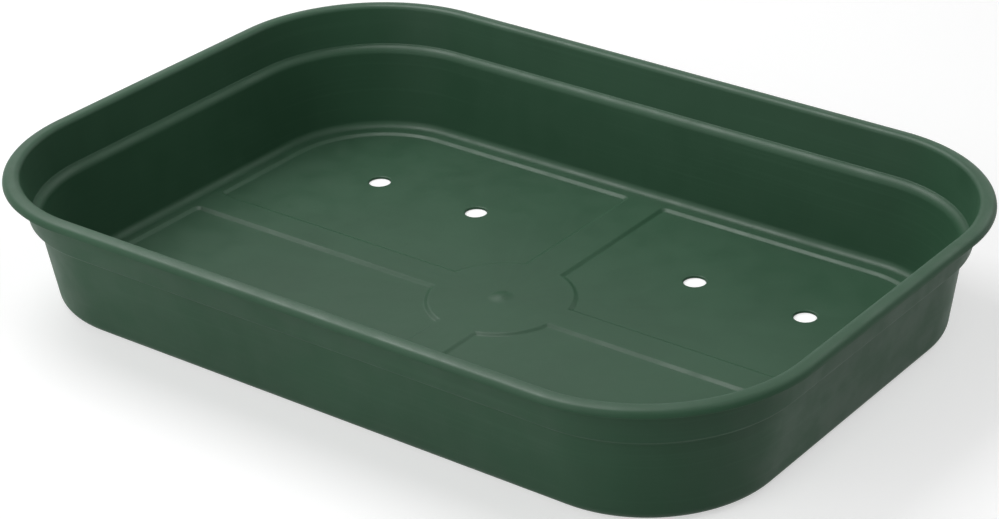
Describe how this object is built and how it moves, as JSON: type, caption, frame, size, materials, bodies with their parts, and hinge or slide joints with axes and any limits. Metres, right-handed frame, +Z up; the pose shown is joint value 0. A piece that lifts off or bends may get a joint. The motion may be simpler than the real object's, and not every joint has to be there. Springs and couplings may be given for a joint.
{
  "type": "plant growing tray",
  "caption": "Low rectangular growing tray with rounded corners, a rolled lip, a stepped wall and a panelled floor with drain holes.",
  "frame": {"origin": "middle of the tray, on the ground it stands on", "axes": "+X along the long side, +Y along the short side, +Z up"},
  "size_m": [0.52, 0.36, 0.08],
  "materials": {
    "growing_tray": "satin moulded plastic, dark green"
  },
  "bodies": {
    "root": {"growing_tray": "growing_tray"}
  },
  "joints": []
}
